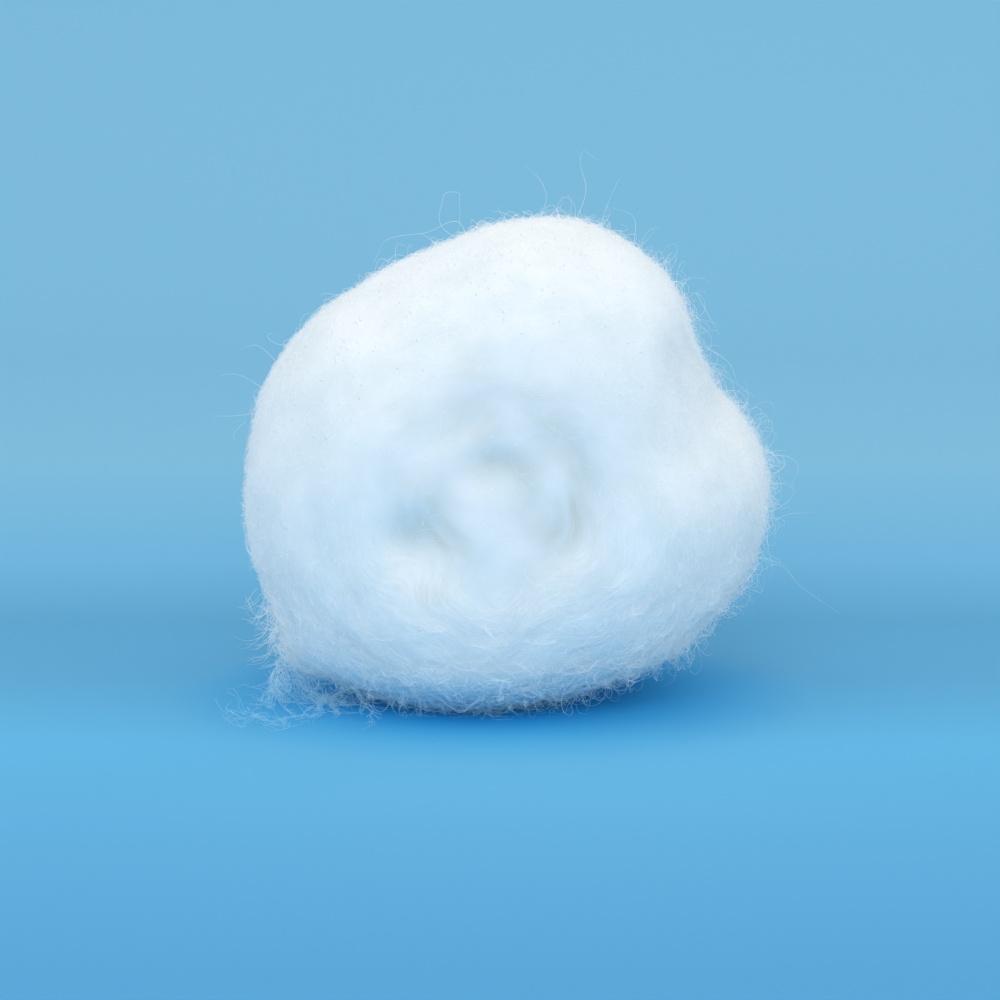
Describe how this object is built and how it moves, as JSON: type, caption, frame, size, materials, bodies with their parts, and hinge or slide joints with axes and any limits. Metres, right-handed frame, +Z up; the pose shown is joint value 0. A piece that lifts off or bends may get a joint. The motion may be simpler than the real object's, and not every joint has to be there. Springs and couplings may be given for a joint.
{
  "type": "cotton ball",
  "caption": "Soft white ball of bleached cotton fibre, rolled from a sliver, for dabbing, wiping and padding.",
  "frame": {"origin": "on the flat spot that the ball rests on, straight under its winding axis", "axes": "+Z up, +Y along the winding axis away from the end face that the picture shows, +X to the right as seen from that end face"},
  "size_m": [0.0343, 0.0293, 0.0319],
  "materials": {
    "cotton": "matt, fibrous, slightly see-through at the edges"
  },
  "bodies": {
    "root": {"cotton_ball": "cotton"}
  },
  "joints": []
}
